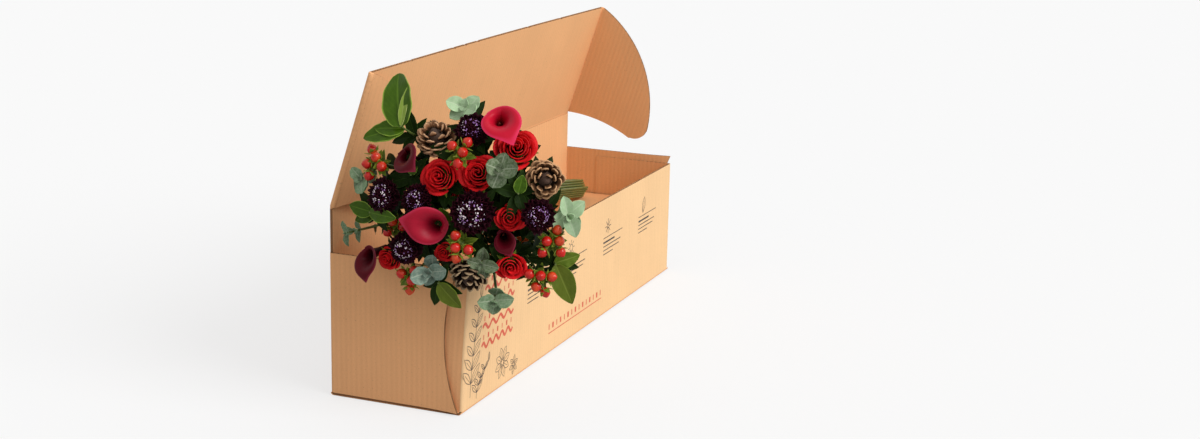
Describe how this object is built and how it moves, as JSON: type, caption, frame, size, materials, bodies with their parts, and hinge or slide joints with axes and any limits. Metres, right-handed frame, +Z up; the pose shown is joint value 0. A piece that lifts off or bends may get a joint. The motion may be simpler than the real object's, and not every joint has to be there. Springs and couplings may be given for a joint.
{
  "type": "flower delivery box",
  "caption": "Long folded corrugated-board flower box with its hinged lid and ears open, a stem platform inside and a hand-tied bouquet lying in it",
  "frame": {"origin": "centre of the underside of the box's base, on the surface that the box stands on", "axes": "+X along the box, from the end where the flower heads lie out to the far end; -Y is the printed front wall, +Y the back wall that carries the lid; +Z up"},
  "size_m": [0.7422, 0.3045, 0.3779],
  "materials": {
    "kraft_board": "matt brown kraft corrugated board",
    "kraft_inner": "matt brown kraft corrugated board, inner side",
    "printed_board": null,
    "rose_petal": "velvety deep red petals on a green stem",
    "scabiosa_petal": "near-black purple frilled petals on a green stem",
    "cone_scale": "dry brown woody scales on a pick",
    "calla_spathe": "smooth waxy magenta to burgundy spathe",
    "hypericum_berry": "glossy red-orange berries with green sepals",
    "eucalyptus_leaf": "matt grey-green waxy leaves",
    "green_leaf": "glossy green leaves",
    "tie_rubber": "tan rubber band"
  },
  "bodies": {
    "box": {"bottom_panel": "kraft_inner", "front_panel": "printed_board", "back_panel": "kraft_board", "end_flap_left": "kraft_board", "end_flap_right": "kraft_board", "end_tab_left": "kraft_board", "end_tab_right": "kraft_board", "stem_platform": "kraft_inner"},
    "lid": {"lid_panel": "kraft_board"},
    "ear_left": {"lid_ear_left": "kraft_inner"},
    "ear_right": {"lid_ear_right": "kraft_inner"},
    "bouquet": {"rose_1": "rose_petal", "rose_2": "rose_petal", "rose_3": "rose_petal", "rose_4": "rose_petal", "rose_5": "rose_petal", "rose_6": "rose_petal", "rose_7": "rose_petal", "rose_8": "rose_petal", "scabiosa_1": "scabiosa_petal", "scabiosa_2": "scabiosa_petal", "scabiosa_3": "scabiosa_petal", "scabiosa_4": "scabiosa_petal", "scabiosa_5": "scabiosa_petal", "scabiosa_6": "scabiosa_petal", "pine_cone_1": "cone_scale", "pine_cone_2": "cone_scale", "pine_cone_3": "cone_scale", "calla_1": "calla_spathe", "calla_2": "calla_spathe", "calla_3": "calla_spathe", "calla_4": "calla_spathe", "calla_5": "calla_spathe", "hypericum_1": "hypericum_berry", "hypericum_2": "hypericum_berry", "hypericum_3": "hypericum_berry", "hypericum_4": "hypericum_berry", "hypericum_5": "hypericum_berry", "hypericum_6": "hypericum_berry", "hypericum_7": "hypericum_berry", "eucalyptus_1": "eucalyptus_leaf", "eucalyptus_2": "eucalyptus_leaf", "eucalyptus_3": "eucalyptus_leaf", "eucalyptus_4": "eucalyptus_leaf", "eucalyptus_5": "eucalyptus_leaf", "eucalyptus_6": "eucalyptus_leaf", "eucalyptus_7": "eucalyptus_leaf", "eucalyptus_8": "eucalyptus_leaf", "foliage_1": "green_leaf", "foliage_2": "green_leaf", "foliage_3": "green_leaf", "foliage_4": "green_leaf", "foliage_5": "green_leaf", "foliage_6": "green_leaf", "foliage_7": "green_leaf", "tie_band": "tie_rubber"}
  },
  "joints": [
    {"name": "lid_hinge", "type": "hinge", "parent": "box", "child": "lid", "pos_m": [0, 0.081, 0.216], "axis": [1, 0, 0], "range_deg": [-190, 10]},
    {"name": "ear_left_fold", "type": "hinge", "parent": "lid", "child": "ear_left", "pos_m": [-0.335, 0.07815, 0.21507], "axis": [0, -0.309, 0.9511], "range_deg": [-14, 14]},
    {"name": "ear_right_fold", "type": "hinge", "parent": "lid", "child": "ear_right", "pos_m": [0.335, 0.07815, 0.21507], "axis": [0, 0.309, -0.9511], "range_deg": [-90, 80]},
    {"name": "bouquet_pull", "type": "slide", "parent": "box", "child": "bouquet", "axis": [-0.9613, -0.1951, 0.1946], "range_m": [0, 0.6]}
  ]
}
